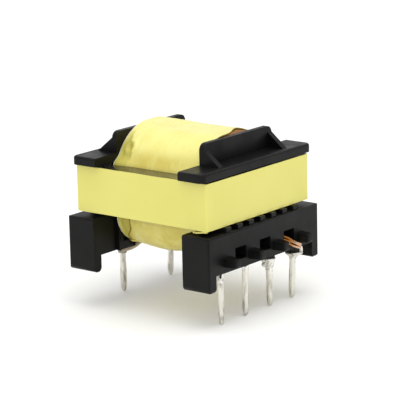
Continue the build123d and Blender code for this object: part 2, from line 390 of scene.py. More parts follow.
@dataclass(frozen=True)
class LeadEnamel(Finish):
    """Enamelled copper of which the enamel burnt off towards a soldered end.

    Attributes:
        bare: The colour where the enamel is gone.
        bare_x: Where the enamel starts to go along X, and where it is gone.
        tin: The colour of the tinned end.
        tin_x: Where the tin starts along X, and where it is complete.
    """

    bare: str = "#DDB594"
    bare_x: tuple[float, float] = (4.8, 6.2)
    tin: str = "#E9E6DC"
    tin_x: tuple[float, float] = (7.5, 7.9)

    def paint(self, tree: bpy.types.NodeTree, place: bpy.types.NodeSocket) -> bpy.types.NodeSocket:
        """Adds the bare stretch and the tinned end to the soft patches.

        Args:
            tree: The material's tree.
            place: The object coordinates.

        Returns:
            The colour socket.
        """
        colour = super().paint(tree, place)
        x = add_node(tree, "ShaderNodeSeparateXYZ", inputs={"Vector": place}).outputs["X"]
        for code, (low, high) in ((self.bare, self.bare_x), (self.tin, self.tin_x)):
            share = add_node(tree, "ShaderNodeMapRange", {"interpolation_type": "SMOOTHSTEP"}, {
                "Value": x, "From Min": low * MM, "From Max": high * MM}).outputs["Result"]
            colour = add_node(tree, "ShaderNodeMix", {"data_type": "RGBA"}, {
                0: share, 6: colour, 7: linear(code)}).outputs[2]
        return colour


class Finishes(Enum):
    """The finishes of the part's pieces."""

    # Glass-filled phenolic, compression moulded: near black with a low sheen and a skin that isn't quite
    # even.
    FORMER = Finish("Phenolic moulded", "coil_former", "#0A0A0A", "#121211", 0.4, patch_mm=5.0,
                    grain_mm=0.35, grain_depth_mm=0.004, ior=1.26)
    # Manganese-zinc ferrite, sintered and ground: dark brown grey, smooth enough to mirror the film.
    FERRITE = Finish("Ferrite ground", "ferrite", "#332D22", "#28231C", 0.24, 0.06, patch_mm=2.0,
                     grain_mm=0.15, ior=1.9)
    # Polyester film tape, wound tight over a flat core: an even warm yellow with a soft shine.
    CORE_TAPE = Finish("Polyester film on core", "yellow_tape", "#E6DF7B", "#E2DB74", 0.34, 0.05,
                       patch_mm=6.0, grain_mm=1.2, grain_depth_mm=0.003, ior=1.4)
    # The same film over round wire: it shines along every fold.
    COIL_TAPE = CoilFilm("Polyester film on coil", "coil_tape", "#F8F198", "#F1E888", 0.3, 0.07,
                         patch_mm=2.2, grain_mm=0.9, grain_depth_mm=0.008, stretch=2.5, ior=1.45)
    # Film between the windings, a little clearer.
    INSULATION = Finish("Polyester film between windings", "insulation_tape", "#DCCB6A", "#D2BF5E", 0.35,
                        ior=1.57)
    # Enamelled copper wire, wound: amber brown where the enamel is thick, orange where it thins.
    COPPER = Finish("Copper wire enamelled", "copper", "#A06A12", "#73480C", 0.42, patch_mm=0.8,
                    grain_mm=0.2, grain_depth_mm=0.004, metallic=0.35)
    # Enamelled copper strands that were heated for soldering: amber, then pale copper, then tin.
    STRAND = LeadEnamel("Copper wire heated", "lead_wire", "#B87A30", "#7E4A1C", 0.3, patch_mm=0.9,
                        metallic=0.8)
    # Two wires in clear sleeving, as they come out of the coil: brownish pink, dull.
    SLEEVED = Finish("Copper wire in sleeving", "lead_wire", "#B9A488", "#9A8468", 0.4, patch_mm=1.2,
                     grain_depth_mm=0.004)
    # Tin-plated pin, dipped: bright, with thin grey streaks down it painted as dark reflections.
    PIN = Finish("Tin dipped", "tinned_pin", "#E4E1D7", "#9A968C", 0.3, patch_mm=0.32, grain_mm=0.5,
                 grain_depth_mm=0.004, stretch=7.0, edge=(0.52, 0.7), metallic=1.0)
    # Tin-copper solder, cooled in air: pale and satin, with few streaks.
    SOLDER = Finish("Solder cooled", "solder", "#F4F2EB", "#A5A198", 0.3, 0.07, patch_mm=0.5,
                    grain_mm=0.4, grain_depth_mm=0.006, edge=(0.5, 0.7), metallic=0.75)
    # Solder painted grey and dull as shade, where the joint mirrors the dark rail.
    SOLDER_SHADED = Finish("Solder shaded", "solder", "#A39F95", "#7A766C", 0.42, 0.07, patch_mm=0.5,
                         grain_mm=0.4, grain_depth_mm=0.006, edge=(0.5, 0.7), metallic=0.6)
    # The collars under the rail round the pins: nearly black, with a dull shine.
    DARK_COLLAR = Finish("Near black collar", "solder", "#0B0907", "#1C140C", 0.4, 0.07, patch_mm=0.6,
                  grain_depth_mm=0.006, ior=1.3)


def finished(bm: bmesh.types.BMesh, name: str, finish: Finishes, *nodes: str,
             crease_degrees: float = 40.0) -> bpy.types.Object:
    """Turns a mesh in millimetres into a piece of the part.

    Args:
        bm: The mesh, in millimetres and in its place. It is freed.
        name: The piece's name.
        finish: What it is made of.
        nodes: The solids that it stands for.
        crease_degrees: Edges sharper than this stay sharp.

    Returns:
        The piece, riding on the part's body.
    """
    bmesh.ops.scale(bm, vec=Vector((MM, MM, MM)), verts=bm.verts)
    bmesh.ops.recalc_face_normals(bm, faces=bm.faces)
    mesh = bpy.data.meshes.new(name)
    bm.to_mesh(mesh)
    bm.free()
    mesh.shade_smooth()
    mesh.set_sharp_from_angle(angle=math.radians(crease_degrees))
    mesh.materials.append(finish.value.material())
    piece = bpy.data.objects.new(name, mesh)
    bpy.context.scene.collection.objects.link(piece)
    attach(piece, BODY)
    if nodes:
        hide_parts(*nodes)
    log.info("%s: %d faces, %s", name, len(mesh.polygons), finish.value.name)
    return piece


def dressed(node: str, finish: Finishes, edge_mm: float = 0.0, crease_degrees: float = 40.0) -> None:
    """Gives a solid its finish and, where it has them, its moulded or ground edges.

    Args:
        node: The solid's name.
        finish: What it is made of.
        edge_mm: The width of the softened edges, 0 for none.
        crease_degrees: Edges sharper than this are softened.
    """
    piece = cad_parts[node]
    for place in piece.material_slots:
        place.material = finish.value.material()
    if edge_mm:
        weld = piece.modifiers.new("Weld", "WELD")
        weld.merge_threshold = WELD_MM * MM
        bevel = piece.modifiers.new("Edges", "BEVEL")
        bevel.width = edge_mm * MM
        bevel.segments = 2
        bevel.limit_method = "ANGLE"
        bevel.angle_limit = math.radians(crease_degrees)
        bevel.use_clamp_overlap = True
        bevel.harden_normals = True
    log.info("%s: solid kept, %s", node, finish.value.name)


def barrel(segments: int, rings: int, capped: bool = True) -> bmesh.types.BMesh:
    """Makes a cylinder of radius 1 from z = 0 to z = 1 with even rings, ready to be shaped.

    Args:
        segments: How many sides it has.
        rings: How many rings lie between its ends.
        capped: Whether its ends are closed.

    Returns:
        The mesh.
    """
    bm = bmesh.new()
    bmesh.ops.create_cone(bm, cap_ends=capped, segments=segments, radius1=1.0, radius2=1.0, depth=1.0,
                          matrix=Matrix.Translation((0, 0, 0.5)))
    upright = [e for e in bm.edges if abs(e.verts[0].co.z - e.verts[1].co.z) > 0.5]
    bmesh.ops.subdivide_edges(bm, edges=upright, cuts=rings)
    return bm


def shape(bm: bmesh.types.BMesh, rule: Callable[[float, float], Vector]) -> None:
    """Moves each point of a barrel's wall to where a rule puts it.

    Args:
        bm: The barrel.
        rule: Gives the place for an angle round the barrel and a share of its length.
    """
    for vertex in bm.verts:
        vertex.co = rule(math.atan2(vertex.co.y, vertex.co.x), vertex.co.z)


def tube(rule: Callable[[float, float], Vector], segments: int, rings: int,
         wall: float) -> bmesh.types.BMesh:
    """Makes an open tube with a wall.

    Args:
        rule: Gives the outer skin's place for an angle round the tube and a share of its length.
        segments: How many sides it has.
        rings: How many rings lie between its ends.
        wall: The wall's thickness in millimetres, inwards.

    Returns:
        The mesh.
    """
    bm = barrel(segments, rings, capped=False)
    shape(bm, rule)
    bmesh.ops.recalc_face_normals(bm, faces=bm.faces)
    bmesh.ops.solidify(bm, geom=bm.faces[:], thickness=wall)
    return bm


def wire(name: str, points: list[Vector], radius: float, finish: Finishes,
         *nodes: str) -> bpy.types.Object:
    """Makes a round wire along a smooth curve.

    Args:
        name: The piece's name.
        points: The curve's control points in millimetres.
        radius: The wire's radius in millimetres.
        finish: What it is made of.
        nodes: The solids that it stands for.

    Returns:
        The wire's mesh as a piece.
    """
    curve = bpy.data.curves.new(name, "CURVE")
    curve.dimensions = "3D"
    curve.resolution_u = 10
    curve.bevel_depth = radius
    curve.bevel_resolution = 3
    curve.use_fill_caps = True
    spline = curve.splines.new("NURBS")
    spline.points.add(len(points) - 1)
    for control, point in zip(spline.points, points):
        control.co = (*point, 1.0)
    spline.order_u = 3
    spline.use_endpoint_u = True
    draft = bpy.data.objects.new(name, curve)
    mesh = bpy.data.meshes.new_from_object(draft)
    bm = bmesh.new()
    bm.from_mesh(mesh)
    bmesh.ops.remove_doubles(bm, verts=bm.verts, dist=radius * 0.01)
    bpy.data.meshes.remove(mesh)
    bpy.data.objects.remove(draft)
    bpy.data.curves.remove(curve)
    return finished(bm, name, finish, *nodes, crease_degrees=60.0)


@dataclass
class CoilFormer:
    """The black moulding: its solid is kept and its edges are softened as a mould leaves them.

    Attributes:
        edge: The width of its softened edges.
    """

    edge: float = 0.19

    def build(self) -> None:
        """Dresses the solid."""
        dressed("bobbin", Finishes.FORMER, self.edge)


@dataclass
class CorePair:
    """The two ferrite halves, of which thin strips show between tape and coil.

    Attributes:
        edge: The width of their ground edges.
    """

    edge: float = 0.05

    def build(self) -> None:
        """Dresses both solids."""
        for node in ("core_half_front", "core_half_rear"):
            dressed(node, Finishes.FERRITE, self.edge)


@dataclass
class CoreTape:
    """The yellow band round the core pair: a few wraps of film that don't lie quite edge to edge.

    Attributes:
        wraps: How many wraps show at the band's edges.
        corner: The outer radius at the corners.
        waviness: How far the film stands off the flat.
        face_wave: The length of these waves.
        edge_wander: How far a wrap's edges wander up and down.
        edge_wave: The length of these waves.
        edge_step: How much narrower each wrap is than the one over it, at each edge.
        film: The film's thickness, as a share of a wrap's.
        flap_size: The width, length and thickness of the film's loose end.
        flap_place: Where it starts, from the band's lowest corner.
        flap_sag: How far it hangs down at its tip.
        flap_bent: At which share of its length it hangs down that far.
        flap_bow: How far its middle stands out.
    """

    wraps: int = 3
    corner: float = 0.3
    waviness: float = 0.02
    face_wave: float = 4.0
    edge_wander: float = 0.035
    edge_wave: float = 3.5
    edge_step: float = 0.02
    film: float = 0.94
    flap_size: tuple[float, float, float] = (0.35, 2.1, 0.16)
    flap_place: tuple[float, float, float] = (0.12, 0.15, -0.06)
    flap_sag: float = 0.2
    flap_bent: float = 0.8
    flap_bow: float = 0.1

    def build(self) -> None:
        """Builds the wraps as one piece that stands for the solid band."""
        low, high = millimetres("core_tape")
        core_low, _ = millimetres("core_half_front")
        thick = (core_low.x - low.x) / self.wraps
        band = bmesh.new()
        for wrap in range(self.wraps):
            bm = self.sleeve(low, high, thick, wrap)
            mesh = bpy.data.meshes.new("wrap")
            bm.to_mesh(mesh)
            bm.free()
            band.from_mesh(mesh)
            bpy.data.meshes.remove(mesh)
        finished(band, "core_tape_wraps", Finishes.CORE_TAPE, "core_tape", crease_degrees=50.0)
        self.flap(low)

    def flap(self, low: Vector) -> None:
        """Makes the end of the film that hangs out under the band, beside its near left corner.

        Args:
            low: The band's lowest corner.
        """
        length = self.flap_size[1]
        bm = bmesh.new()
        bmesh.ops.create_cube(bm, size=1.0, matrix=Matrix.Diagonal((*self.flap_size, 1)))
        long = [e for e in bm.edges if abs(e.verts[0].co.y - e.verts[1].co.y) > length / 2]
        bmesh.ops.subdivide_edges(bm, edges=long, cuts=16)
        for vertex in bm.verts:
            share = vertex.co.y / length + 0.5
            bend = math.sin(math.pi * min(share / self.flap_bent, 1.0) / 2) ** 2
            vertex.co += low + Vector(self.flap_place) + Vector((
                -self.flap_bow * math.sin(math.pi * share), length / 2, -self.flap_sag * bend))
        finished(bm, "core_tape_end", Finishes.CORE_TAPE)

    def sleeve(self, low: Vector, high: Vector, thick: float, wrap: int) -> bmesh.types.BMesh:
        """Makes one wrap.

        Args:
            low: The band's lowest corner.
            high: The band's highest corner.
            thick: A wrap's thickness.
            wrap: The wrap's number, from the outside.

        Returns:
            The wrap's mesh in millimetres.
        """
        inset = wrap * thick
        size = high - low - Vector((2 * inset, 2 * inset, 0))
        bm = bmesh.new()
        bmesh.ops.create_cube(bm, size=1.0)
        bmesh.ops.transform(bm, verts=bm.verts, matrix=Matrix.Translation((low + high) / 2) @
                            Matrix.Diagonal((*size, 1)))
        lids = [f for f in bm.faces if abs(f.normal.z) > 0.5]
        bmesh.ops.delete(bm, geom=lids, context="FACES_ONLY")
        upright = [e for e in bm.edges if abs(e.verts[0].co.z - e.verts[1].co.z) > size.z / 2]
        bmesh.ops.bevel(bm, geom=upright, offset=self.corner - inset, segments=8, profile=0.5,
                        affect="EDGES", material=-1)
        flat = [e for e in bm.edges if e.calc_length() > size.x / 2]
        bmesh.ops.subdivide_edges(bm, edges=flat, cuts=40)
        upright = [e for e in bm.edges if abs(e.verts[0].co.z - e.verts[1].co.z) > size.z / 2]
        bmesh.ops.subdivide_edges(bm, edges=upright, cuts=8)
        bm.normal_update()
        for vertex in bm.verts:
            x, y, z = vertex.co
            rise = (z - low.z) / (high.z - low.z)
            wander = self.edge_wander * ripple(x, y, rise * 50, self.edge_wave, 7.0 * wrap)
            vertex.co.z += (wander - self.edge_step * wrap) * (2 * rise - 1)
            vertex.co -= vertex.normal * self.waviness * (0.5 + 0.5 * ripple(x, y, z, self.face_wave, 3.0))
        bmesh.ops.solidify(bm, geom=bm.faces[:], thickness=thick * self.film)
        return bm


def rounded_radius(angle: float, half: float, rise: float, corner: float) -> float:
    """Gives the distance from the middle of a rounded rectangle to its edge.

    Args:
        angle: The direction, in radians.
        half: Half its width.
        rise: Half its height.
        corner: The radius of its corners.

    Returns:
        The distance, in the units of the sizes.
    """
    across, up = abs(math.cos(angle)), abs(math.sin(angle))
    middle_x, middle_z = half - corner, rise - corner
    if across * middle_z >= up * half:
        return half / across
    if up * middle_x >= across * rise:
        return rise / up
    along = middle_x * across + middle_z * up
    return along + math.sqrt(along ** 2 - middle_x ** 2 - middle_z ** 2 + corner ** 2)


@dataclass(frozen=True)
class Dimple:
    """A ring that stands up round a hollow in the film, where it was pressed in.

    Attributes:
        angle: Where it lies round the coil's axis, in degrees from +X towards +Z.
        y: Where it lies along Y.
        reach: Its distance from the coil's axis.
        radius: The ring's radius.
        rise: How high the ring stands, and how wide it is.
        hollow: How deep the hollow is, and how wide.
    """

    angle: float = 139.5
    y: float = 5.25
    reach: float = 7.8
    radius: float = 0.85
    rise: tuple[float, float] = (0.14, 0.3)
    hollow: tuple[float, float] = (0.13, 0.6)

    def height(self, angle: float, y: float) -> float:
        """Gives its height at an angle in radians and a place along the coil."""
        away = math.hypot((angle - math.radians(self.angle)) * self.reach, y - self.y)
        return self.rise[0] * hump(self.radius, self.rise[1], away) - self.hollow[0] * hump(
            0.0, self.hollow[1], away)


@dataclass
class CoilTape:
    """The last wraps of film round the coil.

    It is a rounded square tube that swells above and below the core's legs and hangs lower in its middle.
    Towards the far flange the wire under it stops short, so the film dips there. At the near flange it
    covers the wire but for a crescent on top.

    Attributes:
        half: Half the coil's width where the legs hold it in.
        rise: How far its top stands above its axis.
        drop: How far its ends hang below its axis.
        turn_over: Over which heights of the unit circle the upper outline turns into the lower one.
        corner: The radius of its corners.
        far_corners: The radius of the far rim's corners, above and below.
        far_rise: How much higher its far rim stands.
        far_from: From which shares of its length its rise, corners and lip turn into the far rim's.
        leg_room: Half the height over which the legs hold its sides in.
        free_room: How far past that its sides are quite free.
        swell: How far its sides stand out below the legs.
        spread: How far its sides stand out over the legs.
        lip: How far the far rim does.
        lip_place: How far the lip's middle lies below the legs' edge, and how wide it is.
        belly: How far its middle hangs below its ends.
        belly_y: Where along Y it hangs lowest.
        belly_width: Over what length it does.
        margin: How far from the far flange the wire stops, on top and by the leg.
        margin_wander: How far that edge wanders.
        margin_waves: The radius of the ring that this is drawn on, and the length of its waves.
        low_up: Between which heights of the unit circle the coil's side ends and its top starts.
        dip: How deep the film sinks there, at the coil's side and on its top.
        dip_start: Where it starts to sink before that edge, and where it is down past it.
        dip_end: How far from the far flange it starts to rise again, and where it is up.
        fold: How high the fold along that edge stands, how wide it is and how far outside it lies.
        rib: How far single turns show through the film.
        rib_pitch: How far apart they show.
        rib_stray: How far their lines stray, in radians, and how often they do so round the coil.
        rib_patch: The radius on which the patches where they show are drawn, and the patches' length.
        soft: How high the film's soft waves are, how long, and on what radius they are drawn.
        dimple: The dimple by the far flange.
        bare: How far from the near flange the film stops, on top.
        bare_place: Where round the axis the film stops short, and over what angle, in degrees.
        film: The film's thickness at its cut edges.
        near_gap: How far the film stays off the near flange elsewhere.
        far_y: Where it meets the far flange.
        axis_z: The height of its axis.
    """

    half: float = 7.05
    rise: float = 7.18
    drop: float = 7.75
    turn_over: float = 0.4
    corner: float = 5.2
    far_corners: tuple[float, float] = (6.2, 4.8)
    far_rise: float = 0.32
    far_from: tuple[float, float, float] = (0.6, 0.7, 0.75)
    leg_room: float = 2.95
    free_room: float = 1.3
    swell: float = 0.35
    spread: float = 0.3
    lip: float = 0.8
    lip_place: tuple[float, float] = (0.35, 0.9)
    belly: float = 0.8
    belly_y: float = 1.6
    belly_width: float = 4.2
    margin: tuple[float, float] = (0.45, 2.0)
    margin_wander: float = 0.2
    margin_waves: tuple[float, float] = (4.0, 2.5)
    low_up: tuple[float, float] = (0.55, 0.85)
    dip: tuple[float, float] = (0.2, 0.08)
    dip_start: tuple[float, float] = (-0.5, 0.25)
    dip_end: tuple[float, float] = (0.5, 0.1)
    fold: tuple[float, float, float] = (0.1, 0.16, 0.15)
    rib: float = 0.022
    rib_pitch: float = 1.1
    rib_stray: tuple[float, float] = (1.5, 3.0)
    rib_patch: tuple[float, float] = (2.5, 2.0)
    soft: tuple[float, float, float] = (0.06, 2.6, 5.0)
    dimple: Dimple = Dimple()
    bare: float = 1.4
    bare_place: tuple[float, float] = (70.0, 19.0)
    film: float = 0.1
    near_gap: float = 0.03
    far_y: float = field(default_factory=lambda: millimetres("outer_coil_tape")[1].y)
    axis_z: float = field(default_factory=lambda: sum(c.z for c in millimetres("core_tape")) / 2)

    def radius(self, angle: float, y: float) -> float:
        """Gives the coil's radius at an angle from +X and a place along Y.

        Args:
            angle: The angle round the coil's axis, from +X towards +Z.
            y: The place along the coil in millimetres.

        Returns:
            The radius in millimetres.
        """
        share = (y + self.far_y) / (2 * self.far_y)
        raised, cornered, lipped = (smooth_step(start, 1.0, share) for start in self.far_from)
        top = smooth_step(-self.turn_over, self.turn_over, math.sin(angle))
        hang = self.drop + self.belly * hump(self.belly_y, self.belly_width, y)
        lift = self.rise + self.far_rise * raised
        tall = hang + (lift - hang) * top
        far_corner = self.far_corners[1] + (self.far_corners[0] - self.far_corners[1]) * top
        corner = self.corner + (far_corner - self.corner) * cornered
        height = abs(rounded_radius(angle, self.half, tall, corner) * math.sin(angle))
        free = smooth_step(self.leg_room, self.leg_room + self.free_room, height)
        wide = self.half + self.swell * (1 - top) * free
        below, width = self.lip_place
        lip = self.spread + (self.lip - self.spread) * lipped
        lip *= hump(self.leg_room - below, width, height) * top
        return rounded_radius(angle, wide, tall, corner) + lip + free * self.relief(angle, y)

    def relief(self, angle: float, y: float) -> float:
        """Gives how far the film stands off the plain outline.

        Args:
            angle: The angle round the coil's axis.
            y: The place along the coil in millimetres.

        Returns:
            The height in millimetres.
        """
        across, up = math.cos(angle), math.sin(angle)
        side = 1 - smooth_step(*self.low_up, abs(up))
        margin = self.margin[0] + (self.margin[1] - self.margin[0]) * side
        edge = self.far_y - margin - self.margin_wander * ring_ripple(angle, 0, self.margin_waves, 5.0)
        groove = smooth_step(edge + self.dip_start[0], edge + self.dip_start[1], y)
        groove *= self.dip[1] + (self.dip[0] - self.dip[1]) * side
        groove *= 1 - smooth_step(self.far_y - self.dip_end[0], self.far_y - self.dip_end[1], y)
        stray = self.rib_stray[0] * ripple(self.rib_stray[1] * angle, 0, 0, 1.0, 2.0)
        turns = self.rib * math.sin(2 * math.pi * y / self.rib_pitch + stray)
        turns *= 0.5 + 0.5 * ripple(self.rib_patch[0] * angle, y, 0, self.rib_patch[1], 9.0)
        height, length, ring = self.soft
        soft = height * ripple(ring * across, y, ring * up, length, 4.0)
        high, width, outside = self.fold
        fold = high * hump(edge - outside, width, y) * side
        return turns - groove + soft + self.dimple.height(angle, y) + fold

    def point(self, angle: float, share: float) -> Vector:
        """Puts a point of the film.

        Args:
            angle: The angle round the coil's axis, from +X towards +Z.
            share: How far along the film it lies, from the near flange.

        Returns:
            The point in millimetres.
        """
        middle, width = (math.radians(a) for a in self.bare_place)
        start = self.near_gap + self.bare * hump(middle, width, angle)
        y = start - self.far_y + share * (2 * self.far_y - start)
        radius = self.radius(angle, y)
        return Vector((radius * math.cos(angle), y, self.axis_z + radius * math.sin(angle)))

    def build(self) -> None:
        """Builds the tube with thickness, standing for the solid."""
        film = tube(self.point, 240, 110, self.film)
        finished(film, "coil_tape_wraps", Finishes.COIL_TAPE, "outer_coil_tape", crease_degrees=50.0)


@dataclass
class Windings:
    """The wire under the film, of which the last turns show by the near flange.

    Attributes:
        tape: The film over the winding, which gives its outline.
        turn: The thickness of one turn.
        bare: How much of the coil's length shows single turns, and over what length they fade.
        groove: How deep the grooves between the turns are.
        sunk: How much lower the single turns lie than the rest.
        under: How far the winding lies below the film.
        wall: The winding's thickness.
        near_y: Where it starts along Y.
        far_y: Where it ends.
    """

    tape: CoilTape
    turn: float = 0.25
    bare: tuple[float, float] = (1.6, 0.4)
    groove: float = 0.07
    sunk: float = 0.12
    under: float = 0.03
    wall: float = 0.3
    near_y: float = field(default_factory=lambda: millimetres("primary_outer_winding")[0].y)
    far_y: float = field(default_factory=lambda: millimetres("primary_outer_winding")[1].y)

    def point(self, angle: float, share: float) -> Vector:
        """Puts a point of the winding's skin, more finely where single turns show.

        Args:
            angle: The angle round the coil's axis, from +X towards +Z.
            share: How far along the winding it lies, from the near flange.

        Returns:
            The point in millimetres.
        """
        along = (self.far_y - self.near_y) * share ** 2
        y = self.near_y + along
        ends = 1 - smooth_step(self.bare[0], sum(self.bare), along)
        hollow = (1 - abs(math.sin(math.pi * along / self.turn))) * self.groove + self.sunk
        radius = self.tape.radius(angle, y) - self.tape.film - self.under - hollow * ends
        return Vector((radius * math.cos(angle), y, self.tape.axis_z + radius * math.sin(angle)))

    def build(self) -> None:
        """Builds the outer winding with its turns, and dresses the layers under it."""
        turns = tube(self.point, 160, 150, self.wall)
        finished(turns, "outer_winding_turns", Finishes.COPPER, "primary_outer_winding",
                 crease_degrees=60.0)
        for node in ("primary_inner_winding", "secondary_winding"):
            dressed(node, Finishes.COPPER)
        for node in ("inner_insulation_tape", "middle_insulation_tape"):
            dressed(node, Finishes.INSULATION)


@dataclass
class Pin:
    """A tinned pin with its solder.

    Attributes:
        site: Its row and position, as in its solids' names.
        lump: How uneven its tinning is.
        profile: The solder's outline from its foot up: depths below the rail, each with a radius.
        lean: How far the pin's tip stands to the side along X.
        seed: Where its unevenness starts.
        aside: How far the solder's top stands to each side of the pin, along X and Y.
        solder: The solder's finish.
        tip: The share of its width that it has at its tip, and the height where it is full.
        end: The share of that that its blunt end has, squared, and the height where it is full.
        straight: The height from which it stands upright.
        spread: Between which radii the solder starts to stand aside.
        ragged: How uneven the solder's width and its height are.
        tin_waves: The radius of the ring that the tinning's waves are drawn on, and their length.
        width_waves: The same of the waves in the solder's width.
        height_waves: The same of those in its height.
    """

    site: str
    lump: float
    profile: tuple[tuple[float, float], ...]
    lean: float
    seed: float
    aside: tuple[float, float] = (0.0, 0.0)
    solder: Finishes = Finishes.SOLDER
    tip: tuple[float, float] = (0.76, 1.2)
    end: tuple[float, float] = (0.15, 0.25)
    straight: float = 6.0
    spread: tuple[float, float] = (0.45, 0.75)
    ragged: tuple[float, float] = (0.1, 0.12)
    tin_waves: tuple[float, float] = (1.4, 0.9)
    width_waves: tuple[float, float] = (2.0, 1.2)
    height_waves: tuple[float, float] = (1.5, 1.3)

    @cached_property
    def pin_box(self) -> tuple[Vector, Vector]:
        """Gives the corners of the pin's solid."""
        return millimetres(f"pin_{self.site}")

    @cached_property
    def solder_box(self) -> tuple[Vector, Vector]:
        """Gives the corners of the solder's solid."""
        return millimetres(f"solder_{self.site}")

    def pin_point(self, angle: float, share: float) -> Vector:
        """Puts a point of the pin's skin.

        Args:
            angle: The angle round the pin.
            share: How far up the pin it lies.

        Returns:
            The point in millimetres.
        """
        low, high = self.pin_box
        z = low.z + share * (high.z - low.z)
        taper = self.tip[0] + (1 - self.tip[0]) * smooth_step(0.0, self.tip[1], z)
        blunt = math.sqrt(min(1.0, self.end[0] + z / self.end[1])) if z < self.end[1] else 1.0
        coat = 1 - self.lump * (0.5 + 0.5 * ring_ripple(angle, z, self.tin_waves, self.seed))
        out = self.lean * (1 - smooth_step(0.0, self.straight, z))
        radius = (high.x - low.x) / 2 * taper * blunt * coat
        return around((low + high) / 2, angle, radius, z) + Vector((out, 0, 0))

    def solder_point(self, angle: float, share: float) -> Vector:
        """Puts a point of the solder's skin, between its profile's points.

        Args:
            angle: The angle round the pin.
            share: How far along the profile it lies, from its foot.

        Returns:
            The point in millimetres.
        """
        low, high = self.solder_box
        last = len(self.profile) - 1
        step = min(int(share * last), last - 1)
        part = share * last - step
        (depth, radius), (next_depth, next_radius) = self.profile[step:step + 2]
        depth += (next_depth - depth) * part
        radius += (next_radius - radius) * part
        spread = smooth_step(*self.spread, radius)
        radius *= 1 + self.ragged[0] * ring_ripple(angle, depth, self.width_waves, self.seed + 3)
        depth += self.ragged[1] * spread * ring_ripple(angle, 0, self.height_waves, self.seed)
        return around((low + high) / 2, angle, radius, high.z - depth) + Vector((*self.aside, 0)) * spread

    def build(self) -> None:
        """Builds the pin and its solder, each standing for its solid."""
        bm = barrel(20, 60)
        shape(bm, self.pin_point)
        finished(bm, f"tinned_pin_{self.site}", Finishes.PIN, f"pin_{self.site}")
        bm = barrel(40, 60)
        shape(bm, self.solder_point)
        finished(bm, f"solder_fillet_{self.site}", self.solder, f"solder_{self.site}")


@dataclass
class DarkCollar:
    """A near-black collar between the rail and a pin's solder.

    Attributes:
        site: The pin's row and position.
        depth: How far it hangs below the rail.
        radius: How far it spreads round the pin.
        seed: Where its unevenness starts.
        notch: How much further it hangs on one side, and the angle over which it does, in degrees.
        notch_side: The middle of that side, in degrees from +X.
        bedded: How far it reaches into the rail.
        taper: How much narrower it is at its lower end, as a share.
        ragged: How uneven its depth and its width are.
        depth_waves: The radius of the ring that the waves in its depth are drawn on, and their length.
        width_waves: The same of those in its width.
    """

    site: str
    depth: float
    radius: float
    seed: float
    notch: tuple[float, float] = (0.0, 40.0)
    notch_side: float = -141.0
    bedded: float = 0.01
    taper: float = 0.14
    ragged: tuple[float, float] = (0.3, 0.12)
    depth_waves: tuple[float, float] = (1.5, 0.8)
    width_waves: tuple[float, float] = (2.0, 0.7)

    @cached_property
    def solder_box(self) -> tuple[Vector, Vector]:
        """Gives the corners of the solder's solid."""
        return millimetres(f"solder_{self.site}")

    def point(self, angle: float, share: float) -> Vector:
        """Puts a point of its skin.

        Args:
            angle: The angle round the pin.
            share: How far up the collar it lies.

        Returns:
            The point in millimetres.
        """
        low, high = self.solder_box
        turn = (math.degrees(angle) - self.notch_side + 180) % 360 - 180
        depth = self.depth + self.notch[0] * hump(0, self.notch[1], turn)
        depth *= 1 + self.ragged[0] * ring_ripple(angle, 0, self.depth_waves, self.seed)
        radius = self.radius * (1 - self.taper * (1 - share))
        radius *= 1 + self.ragged[1] * ring_ripple(angle, share, self.width_waves, self.seed + 5)
        return around((low + high) / 2, angle, radius, high.z + self.bedded - depth * (1 - share))

    def build(self) -> None:
        """Builds it as an uneven collar."""
        bm = barrel(48, 12)
        shape(bm, self.point)
        finished(bm, f"dark_collar_{self.site}", Finishes.DARK_COLLAR)


@dataclass
class Bead:
    """An uneven drop of solder, or a crumpled lump of film.

    Attributes:
        name: The piece's name.
        centre: Its middle.
        size: Half its width along each axis.
        finish: What it is made of.
        seed: Where its unevenness starts.
        uneven: How uneven it is, as a share, and over what share of its size that changes.
    """

    name: str
    centre: tuple[float, float, float]
    size: tuple[float, float, float]
    finish: Finishes
    seed: float
    uneven: tuple[float, float] = (0.22, 0.9)

    def build(self) -> None:
        """Builds the drop."""
        bm = bmesh.new()
        bmesh.ops.create_icosphere(bm, subdivisions=4, radius=1.0)
        for vertex in bm.verts:
            bump = 1 + self.uneven[0] * ripple(*vertex.co, self.uneven[1], self.seed)
            vertex.co = Vector(self.centre) + vertex.co * Vector(self.size) * bump
        finished(bm, self.name, self.finish)


